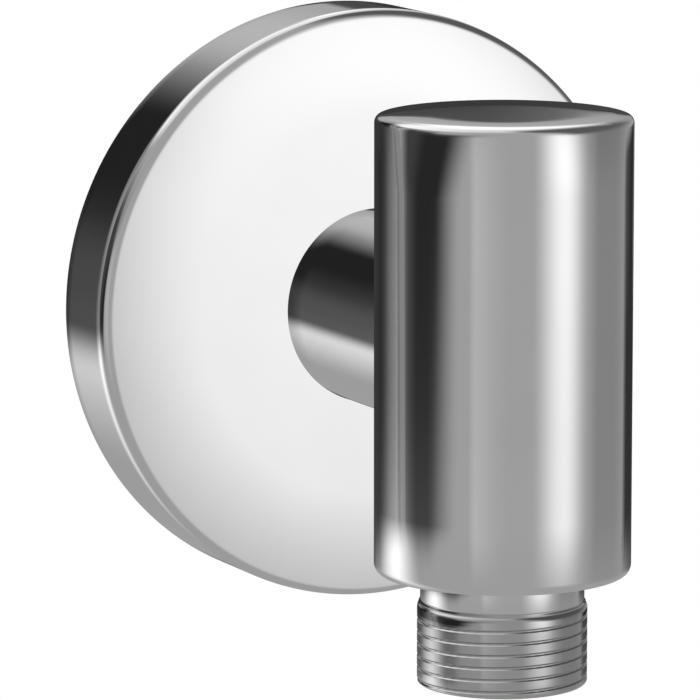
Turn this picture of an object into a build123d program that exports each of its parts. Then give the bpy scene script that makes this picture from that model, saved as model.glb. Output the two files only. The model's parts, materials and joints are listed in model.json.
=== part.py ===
"""Wall outlet elbow for a shower hose, with its non-return valve.

Millimetres. The wall is the plane y = 0 and the fitting stands out of it towards -Y, with +Z up.
The origin is on the neck's axis, in the plane of the wall. Threads are plain cylinders at their
outer diameter.
"""

import os
from math import atan2, degrees, radians, sqrt, tan

from build123d import *

# Wall flange
flange_diameter = 75.5
flange_depth = 12.4
flange_edge_radius = 1.15
flange_back_edge_radius = 0.1
flange_face_wall = 2.2
flange_rim_wall = 4.0
flange_inside_radius = 1.5
flange_hub_wall = 4.2
flange_hub_length = 6.6
flange_clearance = 0.15
flange_ring_section = 1.9
flange_ring_setback = 3.3

# Soft ring in the back of the flange
gasket_lip = 1.4
gasket_depth = 1.6
gasket_clearance = 0.1

# Elbow body: upright cylinder and neck, its heights measured from the neck's axis
projection = 47.4
body_diameter = 31.6
body_above_neck = 28.5
body_below_neck = 27.9
body_head_radius = 1.15
body_foot_radius = 0.8
neck_diameter = 25.2
neck_wall = 3.5
neck_end_chamfer = 0.4
neck_waterway_diameter = 12.0
waterway_diameter = 16.0
waterway_overrun = 1.0
drill_point_angle = 118.0
bore_lead_in = 0.8

# Wall nipple: wall thread, shoulder and spigot
wall_thread_diameter = 20.955
wall_thread_length = 13.5
wall_thread_chamfer = 1.2
wall_relief_depth = 1.3
wall_relief_length = 1.6
shoulder_diameter = 26.4
shoulder_thickness = 3.1
shoulder_setback = 0.3
spigot_clearance = 0.05
spigot_wall = 3.95
spigot_lead_in = 0.8
spigot_nose = 3.4
spigot_ring_section = 1.8
spigot_ring_spacing = 4.4
spigot_bore_runout = 0.3
inlet_key_depth = 9.0

# Grub screw in the underside of the neck
grub_diameter = 5.0
grub_clearance = 0.05
grub_offset = 5.0
grub_ring_offset = 5.0
grub_recess = 0.4
grub_seat_depth = 1.4
grub_tip_radius = 0.5
grub_tip_gap = 0.06
grub_key = 2.5
grub_key_depth = 1.8
grub_chamfer = 0.4

# Hose nipple
hose_thread_diameter = 20.955
hose_thread_length = 10.5
hose_thread_chamfer = 0.9
collar_diameter = 20.2
collar_exposed = 3.45
collar_clearance = 0.12
collar_seat_depth = 4.4
nipple_seal_thickness = 1.2
nipple_seal_clearance = 0.06
nipple_thread_diameter = 18.0
nipple_thread_clearance = 0.05
nipple_engagement = 9.6
nipple_runout = 1.0
nipple_wall = 1.85
nipple_lead_in = 0.6
outlet_ledge = 1.6
outlet_key_depth = 6.0

# Non-return valve cartridge
valve_recess = 1.6
valve_clearance = 0.1
valve_edge_chamfer = 0.4
housing_wall = 1.1
seat_length = 4.6
seat_land = 0.9
seat_cone = 1.0
valve_ring_section = 1.5
valve_ring_setback = 1.6
guide_seat_wall = 0.7
guide_clearance = 0.05
guide_height = 2.5
guide_ring_wall = 1.1
guide_arm_count = 4
guide_arm_width = 1.4
guide_arm_height = 2.0
guide_hub_radius = 2.2
stem_radius = 1.2
stem_clearance = 0.1
stem_inset = 0.5
stem_chamfer = 0.3
poppet_travel = 3.0
poppet_stop_gap = 0.3
poppet_side_gap = 1.0
poppet_head_thickness = 1.2
poppet_boss_radius = 2.4
poppet_boss_height = 1.2
poppet_lip_clearance = 0.25
poppet_lip_height = 0.6
poppet_nose_height = 1.6
poppet_seal_section = 1.2
spring_length = 8.8
spring_wire = 0.5
spring_turns = 5
spring_hub_gap = 0.75

# Gap left at each face of a fitted seal ring
seal_gap = 0.03
# Gap between the closer's seal and its seat, and at each end of the spring
contact_gap = 0.03

# Flange radii and depths, measured along Y from the wall
flange_radius = flange_diameter / 2
neck_radius = neck_diameter / 2
flange_bore_radius = neck_radius + flange_clearance
flange_hub_radius = flange_bore_radius + flange_hub_wall
flange_rim_radius = flange_radius - flange_rim_wall
gasket_seat_radius = flange_radius - gasket_lip

# Elbow body heights and radii
body_radius = body_diameter / 2
body_head = body_above_neck
body_foot = -body_below_neck
spigot_bore_radius = neck_radius - neck_wall
waterway_radius = waterway_diameter / 2
neck_waterway_radius = neck_waterway_diameter / 2
waterway_top = neck_waterway_radius + waterway_overrun
drill_point = waterway_radius / tan(radians(drill_point_angle / 2))

# Stations along the spigot, as distances from the wall
spigot_radius = spigot_bore_radius - spigot_clearance
inlet_radius = spigot_radius - spigot_wall
wall_thread_radius = wall_thread_diameter / 2
wall_relief_radius = wall_thread_radius - wall_relief_depth
shoulder_radius = shoulder_diameter / 2
shoulder_front = shoulder_setback + shoulder_thickness
grub_station = flange_depth + grub_offset
rear_ring_station = grub_station + grub_ring_offset
front_ring_station = rear_ring_station + spigot_ring_spacing
spigot_front = front_ring_station + spigot_nose
spigot_bore_end = spigot_front + spigot_bore_runout

# Heights along the hose nipple
hose_thread_radius = hose_thread_diameter / 2
collar_radius = collar_diameter / 2
collar_seat = body_foot + collar_seat_depth
collar_top = collar_seat - nipple_seal_thickness
hose_thread_top = body_foot - collar_exposed
nipple_foot = hose_thread_top - hose_thread_length
nipple_top = collar_seat + nipple_engagement
nipple_bore_radius = nipple_thread_diameter / 2
nipple_thread_radius = nipple_bore_radius - nipple_thread_clearance
valve_bore_radius = nipple_thread_radius - nipple_wall
outlet_radius = valve_bore_radius - outlet_ledge

# Heights and radii of the valve, from its inlet end down to the ledge that carries it
housing_radius = valve_bore_radius - valve_clearance
chamber_radius = housing_radius - housing_wall
seat_mouth_radius = chamber_radius - seat_land
seat_bore_radius = seat_mouth_radius - seat_cone
valve_head = nipple_top - valve_recess
seat_floor = valve_head - seat_length
seal_radius = poppet_seal_section / 2
seal_ring_radius = seat_bore_radius
seal_height = seat_floor + seat_cone - sqrt(2) * (seal_radius + contact_gap)
poppet_groove_radius = seal_ring_radius - seal_radius - seal_gap
poppet_head_top = seal_height - seal_radius - seal_gap
poppet_head_foot = poppet_head_top - poppet_head_thickness
poppet_boss_foot = poppet_head_foot - poppet_boss_height
poppet_lip_foot = seal_height + seal_radius + seal_gap
poppet_lip_top = poppet_lip_foot + poppet_lip_height
poppet_head_radius = chamber_radius - poppet_side_gap
poppet_lip_radius = seat_bore_radius - poppet_lip_clearance
poppet_nose_radius = (poppet_lip_radius**2 + poppet_nose_height**2) / (2 * poppet_nose_height)
guide_arm_top = poppet_head_foot - spring_length
valve_ledge = guide_arm_top - guide_arm_height
guide_hub_top = poppet_boss_foot - poppet_travel - poppet_stop_gap
guide_seat_radius = housing_radius - guide_seat_wall
guide_radius = guide_seat_radius - guide_clearance
guide_inner_radius = guide_radius - guide_ring_wall
stem_foot = valve_ledge + stem_inset
spring_wire_radius = spring_wire / 2
spring_radius = guide_hub_radius + spring_hub_gap + spring_wire_radius

# Half-profiles of turned pieces: radius and Y about the neck, radius and Z about the cylinder
along_neck = Plane.XY
upright = Plane.XZ.offset(projection)
neck_axis = Axis.Y
body_axis = Axis((0, -projection, 0), (0, 0, 1))


def round_ring(plane, axis, radius, station, section):
    """Ring of round section, turned about an axis."""
    with BuildPart() as ring:
        with BuildSketch(plane):
            with Locations((radius, station)):
                Circle(section / 2 - seal_gap)
        revolve(axis=axis)
    return ring


def flat_ring(plane, axis, inner_radius, outer_radius, low, high):
    """Ring of rectangular section, turned about an axis."""
    with BuildPart() as ring:
        with BuildSketch(plane):
            with Locations((inner_radius, low)):
                Rectangle(outer_radius - inner_radius, high - low, align=Align.MIN)
        revolve(axis=axis)
    return ring


# Upright cylinder with rounded ends, and the neck, in one piece
with BuildPart() as elbow_body:
    with BuildSketch(upright):
        with Locations((0, body_foot)):
            Rectangle(body_radius, body_head - body_foot, align=Align.MIN)
    revolve(axis=body_axis)
    fillet(elbow_body.edges().sort_by(Axis.Z)[-1], body_head_radius)
    fillet(elbow_body.edges().sort_by(Axis.Z)[0], body_foot_radius)
    with BuildSketch(Plane.XZ.offset(shoulder_front)):
        Circle(neck_radius)
    extrude(amount=projection - shoulder_front)
    chamfer(elbow_body.edges().sort_by(Axis.Y)[-1], neck_end_chamfer)
    # Waterway drilled from below, with the thread and the collar's seat at its mouth
    with BuildSketch(upright):
        with BuildLine():
            seat_radius = collar_radius + collar_clearance
            Polyline(
                (0, body_foot),
                (seat_radius, body_foot),
                (seat_radius, collar_seat),
                (nipple_bore_radius, collar_seat),
                (nipple_bore_radius, nipple_top + nipple_runout),
                (waterway_radius, nipple_top + nipple_runout),
                (waterway_radius, waterway_top),
                (0, waterway_top + drill_point),
                close=True,
            )
        make_face()
    revolve(axis=body_axis, mode=Mode.SUBTRACT)
    # Bore for the spigot and waterway through the neck
    with BuildSketch(along_neck):
        with BuildLine():
            Polyline(
                (0, -shoulder_front),
                (spigot_bore_radius + bore_lead_in, -shoulder_front),
                (spigot_bore_radius, -shoulder_front - 2 * bore_lead_in),
                (spigot_bore_radius, -spigot_bore_end),
                (neck_waterway_radius, -spigot_bore_end),
                (neck_waterway_radius, -projection),
                (0, -projection),
                close=True,
            )
        make_face()
    revolve(axis=neck_axis, mode=Mode.SUBTRACT)
    # Tapped hole for the grub screw
    with BuildSketch(Plane.XY):
        with Locations((0, -grub_station)):
            Circle(grub_diameter / 2)
    extrude(amount=-neck_radius, mode=Mode.SUBTRACT)

# Flange, hollow behind, with a hub that holds a ring on the neck
with BuildPart() as wall_flange:
    with BuildSketch(along_neck):
        with BuildLine():
            Polyline(
                (flange_radius, 0),
                (flange_radius, -flange_depth),
                (flange_bore_radius, -flange_depth),
                (flange_bore_radius, flange_hub_length - flange_depth),
                (flange_hub_radius, flange_hub_length - flange_depth),
                (flange_hub_radius, flange_face_wall - flange_depth),
                (flange_rim_radius, flange_face_wall - flange_depth),
                (flange_rim_radius, -gasket_depth),
                (gasket_seat_radius, -gasket_depth),
                (gasket_seat_radius, 0),
                close=True,
            )
        make_face()
    revolve(axis=neck_axis)
    face_edges = wall_flange.edges().filter_by(GeomType.CIRCLE).group_by(Axis.Y)
    fillet(face_edges[0].sort_by(SortBy.RADIUS)[-1], flange_edge_radius)
    inside_edges = wall_flange.edges().filter_by(GeomType.CIRCLE).filter_by_position(
        Axis.Y, flange_face_wall - flange_depth, flange_face_wall - flange_depth
    )
    fillet(inside_edges, flange_inside_radius)
    back_edges = wall_flange.edges().filter_by(GeomType.CIRCLE).group_by(Axis.Y)[-1]
    fillet(back_edges.sort_by(SortBy.RADIUS)[-1], flange_back_edge_radius)
    with BuildSketch(along_neck):
        with Locations((flange_bore_radius, flange_ring_setback - flange_depth)):
            groove_depth = flange_ring_section - flange_clearance
            Rectangle(groove_depth, flange_ring_section, align=(Align.MIN, Align.CENTER))
    revolve(axis=neck_axis, mode=Mode.SUBTRACT)

flange_o_ring = round_ring(
    along_neck,
    neck_axis,
    neck_radius + flange_ring_section / 2,
    flange_ring_setback - flange_depth,
    flange_ring_section,
)

wall_gasket = flat_ring(
    along_neck,
    neck_axis,
    flange_rim_radius,
    gasket_seat_radius - gasket_clearance,
    -gasket_depth,
    0,
)

# Wall nipple: thread into the wall, shoulder just clear of it, spigot inside the neck
with BuildPart() as wall_nipple:
    with BuildSketch(along_neck):
        with BuildLine():
            Polyline(
                (inlet_radius, -spigot_front),
                (spigot_radius - spigot_lead_in, -spigot_front),
                (spigot_radius, -spigot_front + spigot_lead_in),
                (spigot_radius, -shoulder_front),
                (shoulder_radius, -shoulder_front),
                (shoulder_radius, -shoulder_setback),
                (wall_relief_radius, -shoulder_setback),
                (wall_relief_radius, wall_relief_length),
                (wall_thread_radius, wall_relief_length + wall_relief_depth),
                (wall_thread_radius, wall_thread_length - wall_thread_chamfer),
                (wall_thread_radius - wall_thread_chamfer, wall_thread_length),
                (inlet_radius, wall_thread_length),
                close=True,
            )
        make_face()
    revolve(axis=neck_axis)
    # Grooves for the two seal rings
    with BuildSketch(along_neck):
        with Locations((spigot_bore_radius, -rear_ring_station), (spigot_bore_radius, -front_ring_station)):
            Rectangle(spigot_ring_section, spigot_ring_section, align=(Align.MAX, Align.CENTER))
    revolve(axis=neck_axis, mode=Mode.SUBTRACT)
    # V-groove that the grub screw's tip locks into
    with BuildSketch(along_neck):
        with BuildLine():
            Polyline(
                (spigot_radius - grub_seat_depth, -grub_station),
                (spigot_radius, -grub_station + grub_seat_depth),
                (spigot_radius, -grub_station - grub_seat_depth),
                close=True,
            )
        make_face()
    revolve(axis=neck_axis, mode=Mode.SUBTRACT)
    # Hexagon for the fitting key
    with BuildSketch(Plane.XZ.offset(spigot_front)):
        RegularPolygon(inlet_radius, 6, major_radius=False)
    extrude(amount=-inlet_key_depth, mode=Mode.SUBTRACT)

spigot_ring_radius = spigot_bore_radius - spigot_ring_section / 2
spigot_o_ring_rear = round_ring(
    along_neck, neck_axis, spigot_ring_radius, -rear_ring_station, spigot_ring_section
)
spigot_o_ring_front = round_ring(
    along_neck, neck_axis, spigot_ring_radius, -front_ring_station, spigot_ring_section
)

# Grub screw with a cone tip and a hexagon socket, flush under the neck
with BuildPart() as grub_screw:
    grub_radius = grub_diameter / 2 - grub_clearance
    grub_head = grub_recess - neck_radius
    grub_tip = grub_seat_depth - spigot_radius - grub_tip_radius - grub_tip_gap
    with BuildSketch(Plane.XZ.offset(grub_station)):
        with BuildLine():
            Polyline(
                (0, grub_head),
                (grub_radius - grub_chamfer, grub_head),
                (grub_radius, grub_head + grub_chamfer),
                (grub_radius, grub_tip - grub_radius + grub_tip_radius),
                (grub_tip_radius, grub_tip),
                (0, grub_tip),
                close=True,
            )
        make_face()
    revolve(axis=Axis((0, -grub_station, 0), (0, 0, 1)))
    with BuildSketch(Plane.XY.offset(grub_head)):
        with Locations((0, -grub_station)):
            RegularPolygon(grub_key / 2, 6, major_radius=False)
    extrude(amount=grub_key_depth, mode=Mode.SUBTRACT)

# Hose nipple: screwed into the body from below, with the valve inside
with BuildPart() as hose_nipple:
    with BuildSketch(upright):
        with BuildLine():
            Polyline(
                (outlet_radius, nipple_foot),
                (hose_thread_radius - hose_thread_chamfer, nipple_foot),
                (hose_thread_radius, nipple_foot + hose_thread_chamfer),
                (hose_thread_radius, hose_thread_top - hose_thread_radius + collar_radius),
                (collar_radius, hose_thread_top),
                (collar_radius, collar_top),
                (nipple_thread_radius, collar_top),
                (nipple_thread_radius, nipple_top - nipple_lead_in),
                (nipple_thread_radius - nipple_lead_in, nipple_top),
                (valve_bore_radius + nipple_lead_in, nipple_top),
                (valve_bore_radius, nipple_top - nipple_lead_in),
                (valve_bore_radius, valve_ledge),
                (outlet_radius, valve_ledge),
                close=True,
            )
        make_face()
    revolve(axis=body_axis)
    # Hexagon for the fitting key
    with BuildSketch(Plane((0, -projection, nipple_foot))):
        RegularPolygon(outlet_radius, 6, major_radius=False)
    extrude(amount=outlet_key_depth, mode=Mode.SUBTRACT)

nipple_seal = flat_ring(
    upright,
    body_axis,
    nipple_thread_radius + nipple_seal_clearance,
    collar_radius - nipple_seal_clearance,
    collar_top,
    collar_seat,
)

# Valve housing: inlet seat above, chamber for the closer, counterbore for the guide below
with BuildPart() as valve_housing:
    with BuildSketch(upright):
        with BuildLine():
            Polyline(
                (seat_bore_radius, valve_head),
                (housing_radius - valve_edge_chamfer, valve_head),
                (housing_radius, valve_head - valve_edge_chamfer),
                (housing_radius, valve_ledge),
                (guide_seat_radius, valve_ledge),
                (guide_seat_radius, valve_ledge + guide_height),
                (chamber_radius, valve_ledge + guide_height),
                (chamber_radius, seat_floor),
                (seat_mouth_radius, seat_floor),
                (seat_bore_radius, seat_floor + seat_cone),
                close=True,
            )
        make_face()
    revolve(axis=body_axis)
    with BuildSketch(upright):
        with Locations((valve_bore_radius, valve_head - valve_ring_setback)):
            Rectangle(valve_ring_section, valve_ring_section, align=(Align.MAX, Align.CENTER))
    revolve(axis=body_axis, mode=Mode.SUBTRACT)

valve_o_ring = round_ring(
    upright,
    body_axis,
    valve_bore_radius - valve_ring_section / 2,
    valve_head - valve_ring_setback,
    valve_ring_section,
)

# Guide: ring on the nipple's ledge, with arms to the hub that the stem slides in
with BuildPart() as valve_guide:
    guide_plane = Plane((0, -projection, valve_ledge))
    with BuildSketch(guide_plane):
        Circle(guide_radius)
        Circle(guide_inner_radius, mode=Mode.SUBTRACT)
    extrude(amount=guide_height)
    with BuildSketch(guide_plane):
        with PolarLocations(0, guide_arm_count):
            arm_length = (guide_radius + guide_inner_radius) / 2
            Rectangle(arm_length, guide_arm_width, align=(Align.MIN, Align.CENTER))
    extrude(amount=guide_arm_height)
    with BuildSketch(guide_plane):
        Circle(guide_hub_radius)
    extrude(amount=guide_hub_top - valve_ledge)
    with BuildSketch(guide_plane):
        Circle(stem_radius + stem_clearance)
    extrude(amount=guide_hub_top - valve_ledge, mode=Mode.SUBTRACT)

# Closer: domed nose, groove for its seal, head, spring boss and stem
with BuildPart() as valve_poppet:
    with BuildSketch(upright):
        with BuildLine():
            nose_start = degrees(atan2(poppet_nose_radius - poppet_nose_height, poppet_lip_radius))
            nose_centre = (0, poppet_lip_top + poppet_nose_height - poppet_nose_radius)
            nose = CenterArc(nose_centre, poppet_nose_radius, nose_start, 90 - nose_start)
            Polyline(
                nose @ 0,
                (poppet_lip_radius, poppet_lip_foot),
                (poppet_groove_radius, poppet_lip_foot),
                (poppet_groove_radius, poppet_head_top),
                (poppet_head_radius, poppet_head_top),
                (poppet_head_radius, poppet_head_foot),
                (poppet_boss_radius, poppet_head_foot),
                (poppet_boss_radius, poppet_boss_foot),
                (stem_radius, poppet_boss_foot),
                (stem_radius, stem_foot + stem_chamfer),
                (stem_radius - stem_chamfer, stem_foot),
                (0, stem_foot),
                nose @ 1,
            )
        make_face()
    revolve(axis=body_axis)

# The closer's seal is drawn at its own section, because it lies free against its seat
with BuildPart() as poppet_seal:
    with BuildSketch(upright):
        with Locations((seal_ring_radius, seal_height)):
            Circle(seal_radius)
    revolve(axis=body_axis)

# Closing spring between the guide's arms and the closer's head
with BuildPart() as valve_spring:
    spring_foot = guide_arm_top + spring_wire_radius + contact_gap
    spring_rise = spring_length - 2 * (spring_wire_radius + contact_gap)
    with BuildLine() as coil:
        Helix(spring_rise / spring_turns, spring_rise, spring_radius, center=(0, -projection, spring_foot))
    with BuildSketch(Plane(coil.line @ 0, z_dir=coil.line % 0)):
        Circle(spring_wire_radius)
    sweep(path=coil.line)

pieces = {
    "elbow_body": elbow_body,
    "wall_flange": wall_flange,
    "flange_o_ring": flange_o_ring,
    "wall_gasket": wall_gasket,
    "wall_nipple": wall_nipple,
    "spigot_o_ring_rear": spigot_o_ring_rear,
    "spigot_o_ring_front": spigot_o_ring_front,
    "grub_screw": grub_screw,
    "hose_nipple": hose_nipple,
    "nipple_seal": nipple_seal,
    "valve_housing": valve_housing,
    "valve_o_ring": valve_o_ring,
    "valve_guide": valve_guide,
    "valve_poppet": valve_poppet,
    "poppet_seal": poppet_seal,
    "valve_spring": valve_spring,
}

os.makedirs("parts", exist_ok=True)
for name, piece in pieces.items():
    piece.part.label = name
    export_step(piece.part, f"parts/{name}.step")
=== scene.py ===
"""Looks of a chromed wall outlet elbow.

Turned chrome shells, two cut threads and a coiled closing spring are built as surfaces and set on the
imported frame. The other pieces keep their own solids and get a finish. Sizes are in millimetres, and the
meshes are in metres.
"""

import json
import logging
from collections.abc import Callable
from dataclasses import dataclass, field
from enum import Enum
from math import cos, pi, radians, sin, tan

import bpy
import numpy as np
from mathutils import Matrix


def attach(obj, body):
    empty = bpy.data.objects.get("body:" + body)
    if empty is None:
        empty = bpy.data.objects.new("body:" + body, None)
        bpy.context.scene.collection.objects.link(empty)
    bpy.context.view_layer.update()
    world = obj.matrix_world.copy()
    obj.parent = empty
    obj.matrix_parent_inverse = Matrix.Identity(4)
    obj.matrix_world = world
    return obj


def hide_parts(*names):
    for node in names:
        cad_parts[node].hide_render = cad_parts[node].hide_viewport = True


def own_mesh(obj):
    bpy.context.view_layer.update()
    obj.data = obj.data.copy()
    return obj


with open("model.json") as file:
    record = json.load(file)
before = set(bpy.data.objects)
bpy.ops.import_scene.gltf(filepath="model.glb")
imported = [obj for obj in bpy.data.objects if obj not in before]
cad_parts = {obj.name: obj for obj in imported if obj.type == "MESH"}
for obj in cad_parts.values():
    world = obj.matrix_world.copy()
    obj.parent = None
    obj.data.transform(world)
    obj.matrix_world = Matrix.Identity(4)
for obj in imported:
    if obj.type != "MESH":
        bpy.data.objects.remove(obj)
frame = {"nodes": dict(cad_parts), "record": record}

Array = np.ndarray
Point = tuple[float, float, float]
Spot = tuple[float, float]
Edges = tuple[float, float, float, float]
Value = bpy.types.NodeSocket | float | tuple[float, ...]

# Metres in a millimetre, and the distance in metres within which points become one
MM = 0.001
WELD_STEP = 1e-8
FULL_TURN = 2 * pi
SHARP_ANGLE = radians(28)
# Lean of a flat that faces against its axis, in degrees
AGAINST_AXIS = -90.0
# Sizes that several pieces share, in millimetres
PIPE_THREAD_RADIUS = 10.4775
BODY_STATION = 47.4
SHOULDER_STATION = 3.4
LOCK_STATION = 17.4
HOSE_FOOT = -41.85
# Names of the body that the new pieces ride on, and of the attribute of duller cut metal and painted shade
FITTING = "fitting"
DULL_AND_SHADE = "dull_and_shade"
log = logging.getLogger("wall_outlet_elbow")


class Slot(str, Enum):
    """Material slots of the record."""

    CHROME = "chrome_plate"
    BRASS = "bare_brass"
    RUBBER = "seal_rubber"
    VALVE = "valve_plastic"
    CLOSER = "closer_plastic"
    STEEL = "bright_steel"


# Turned surfaces


@dataclass(frozen=True)
class Spindle:
    """Axis that a turned piece is carried around.

    Attributes:
        origin: A point on the axis, in millimetres.
        across: Direction of angle zero.
        along: Direction in which heights grow.
    """

    origin: Point
    across: Point
    along: Point

    def outward(self, angle: Array) -> Array:
        """Directions straight out from the axis: cos angle across + sin angle side.

        Side is along x across.

        Args:
            angle: Angles about the axis, in radians.

        Returns:
            Unit directions, with one more dimension than the angles.
        """
        across = np.array(self.across)
        side = np.cross(np.array(self.along), across)
        return np.cos(angle)[..., None] * across + np.sin(angle)[..., None] * side

    def place(self, radius: Array, angle: Array, height: Array) -> Array:
        """Puts cylinder coordinates into the frame: origin + radius outward + height along.

        Args:
            radius: Distances from the axis.
            angle: Angles about it, in radians.
            height: Heights along it.

        Returns:
            Points in metres, with one more dimension than the arguments broadcast together.
        """
        radius, angle, height = np.broadcast_arrays(radius, angle, height)
        out, along = self.outward(angle), np.array(self.along)
        return MM * (np.array(self.origin) + radius[..., None] * out + height[..., None] * along)

    def facing(self, angle: Array, lean: Array) -> Array:
        """Directions that lean from straight out towards the axis: cos lean outward + sin lean along.

        Args:
            angle: Angles about the axis, in radians.
            lean: Leans towards along, in degrees, or not-a-number where no direction is given.

        Returns:
            Unit directions, and zero where no lean is given.
        """
        angle, lean = np.broadcast_arrays(angle, np.radians(lean))
        out, along = self.outward(angle), np.array(self.along)
        return np.nan_to_num(np.cos(lean)[..., None] * out + np.sin(lean)[..., None] * along)


@dataclass(frozen=True)
class Corner:
    """Corner of a half-profile, with the radius that rounds it.

    Attributes:
        radius: Distance from the axis.
        height: Height along the axis.
        blend: Radius of the rounding, or 0 for a sharp corner.
    """

    radius: float
    height: float
    blend: float = 0.0


@dataclass(frozen=True)
class Patch:
    """Grid of points, and the cells of it that are left open.

    Attributes:
        points: Rows of points, in metres, as an array of rows x columns x 3.
        open_cells: True for each cell that gets no face, or None where all cells have one.
        facing: Direction that the polish gives to each point, zero where the shape gives it, or None.
        dull_and_shade: Share of duller cut metal and of painted shade at each point, or None where there is
            neither.
    """

    points: Array
    open_cells: Array | None = None
    facing: Array | None = None
    dull_and_shade: Array | None = None

    def directions(self) -> Array:
        """Facing of each point as rows of three, zero where the shape gives it."""
        given = np.zeros_like(self.points) if self.facing is None else self.facing
        return given.reshape(-1, 3)

    def shares(self) -> Array:
        """Share of duller cut metal and of painted shade at each point, as one row."""
        given = 0.0 if self.dull_and_shade is None else self.dull_and_shade
        return np.broadcast_to(given, self.points.shape[:2]).ravel()


def turn_angles(count: int) -> Array:
    """Angles of a full turn in equal steps: 2 pi j / count, with the first again at the end.

    Args:
        count: Number of steps.

    Returns:
        One row of count + 1 angles, in radians.
    """
    angles = np.linspace(0.0, FULL_TURN, count + 1)
    angles[-1] = angles[0]
    return angles[None, :]


def eased(share: Array) -> Array:
    """Smooth step from 0 to 1: 3 s^2 - 2 s^3, with s held between 0 and 1."""
    held = np.clip(share, 0.0, 1.0)
    return held * held * (3.0 - 2.0 * held)


def rounded_profile(corners: list[Corner], steps: int = 8, hold: float = 0.12) -> Array:
    """Runs a half-profile through its corners, with an arc at each rounded one.

    An arc of radius b at a corner whose two runs meet at angle w starts and ends b / tan(w / 2) from it. A
    holding point stands a little beyond each end, so that the shading of a run stays flat up to its arc.

    Args:
        corners: The corners in order, with sharp ones at both ends.
        steps: Points on an arc.
        hold: Distance of a holding point from its arc.

    Returns:
        Points of the profile as rows of radius and height.
    """
    spots = np.array([(c.radius, c.height) for c in corners])
    runs: list[Array] = []
    for place, corner in enumerate(corners):
        spot = spots[place]
        if corner.blend <= 0.0:
            runs.append(spot[None, :])
            continue
        back = spots[place - 1] - spot
        ahead = spots[place + 1] - spot
        back_length, ahead_length = np.linalg.norm(back), np.linalg.norm(ahead)
        back, ahead = back / back_length, ahead / ahead_length
        half = 0.5 * np.arccos(np.clip(back @ ahead, -1.0, 1.0))
        reach = corner.blend / tan(half)
        centre = spot + (back + ahead) / np.linalg.norm(back + ahead) * corner.blend / sin(half)
        first, last = spot + reach * back - centre, spot + reach * ahead - centre
        sweep = np.arctan2(first[0] * last[1] - first[1] * last[0], first @ last)
        turn = np.linspace(0.0, sweep, steps)[:, None]
        crossed = np.array([-first[1], first[0]])
        arc = centre + np.cos(turn) * first + np.sin(turn) * crossed
        before = spot + min(reach + hold, 0.5 * (reach + back_length)) * back
        after = spot + min(reach + hold, 0.5 * (reach + ahead_length)) * ahead
        runs.append(np.vstack([before, arc, after]))
    return np.vstack(runs)


def polished_rounding(start: Spot, end: Spot, leans: tuple[float, ...], flat_first: bool,
                      steps: int = 19) -> Array:
    """Rounds the corner between a flat and a side, with the softer lean that polishing leaves.

    It is a quarter ellipse: with t from 0 to a quarter turn, one of radius and height goes from its start to
    its end as sin t, and the other as 1 - cos t.

    Args:
        start: Radius and height at which the rounding starts.
        end: Radius and height at which it ends.
        leans: Leans of its surface at even steps of t, in degrees.
        flat_first: Whether it starts on a flat and ends on a side, and not the other way.
        steps: Points on it.

    Returns:
        Rows of radius, height and lean.
    """
    bend = np.linspace(0.0, pi / 2, steps)
    fast, slow = np.sin(bend), 1.0 - np.cos(bend)
    along_radius, along_height = (fast, slow) if flat_first else (slow, fast)
    lean = np.interp(bend, np.linspace(0.0, pi / 2, len(leans)), leans)
    return np.column_stack([start[0] + (end[0] - start[0]) * along_radius,
                            start[1] + (end[1] - start[1]) * along_height, lean])


def as_shaped(profile: Array) -> Array:
    """Adds an empty lean to rows of radius and height, so that the shape alone gives their shading."""
    return np.column_stack([profile, np.full(len(profile), np.nan)])


def lathe(spindle: Spindle, profile: Array, count: int) -> Patch:
    """Carries a half-profile around an axis: row i, column j is profile point i at angle 2 pi j / count.

    Args:
        spindle: The axis.
        profile: Rows of radius and height, and of lean where the polish gives the shading.
        count: Steps around the axis.

    Returns:
        The turned grid, closed around the axis.
    """
    angles = turn_angles(count)
    points = spindle.place(profile[:, :1], angles, profile[:, 1:2])
    facing = spindle.facing(angles, profile[:, 2:]) if profile.shape[1] > 2 else None
    return Patch(points, facing=facing)


def grid_cells(rows: int, columns: int) -> Array:
    """Corners of the cells of a grid whose points are counted row by row.

    Args:
        rows: Rows of points.
        columns: Points in a row.

    Returns:
        Point numbers, as an array of rows - 1 x columns - 1 x 4.
    """
    index = np.arange(rows * columns).reshape(rows, columns)
    return np.stack([index[:-1, :-1], index[1:, :-1], index[1:, 1:], index[:-1, 1:]], axis=-1)


def faces_of(cells: Array) -> list[list[int]]:
    """Makes faces of cells: a triangle where one of its rows shrinks to a point, and none where both do.

    Args:
        cells: Rows of four point numbers.

    Returns:
        The faces: first those of four corners, then the triangles.
    """
    upper_point = cells[:, 0] == cells[:, 3]
    lower_point = cells[:, 1] == cells[:, 2]
    faces = cells[~(upper_point | lower_point)].tolist()
    faces += cells[upper_point & ~lower_point][:, :3].tolist()
    faces += cells[lower_point & ~upper_point][:, [0, 1, 3]].tolist()
    return faces


def linked_object(name: str, data: bpy.types.ID) -> bpy.types.Object:
    """Puts a mesh or a camera into the scene, at the origin.

    Args:
        name: Name of the object.
        data: The mesh or the camera.

    Returns:
        The new object.
    """
    made = bpy.data.objects.new(name, data)
    bpy.context.scene.collection.objects.link(made)
    return made


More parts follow.
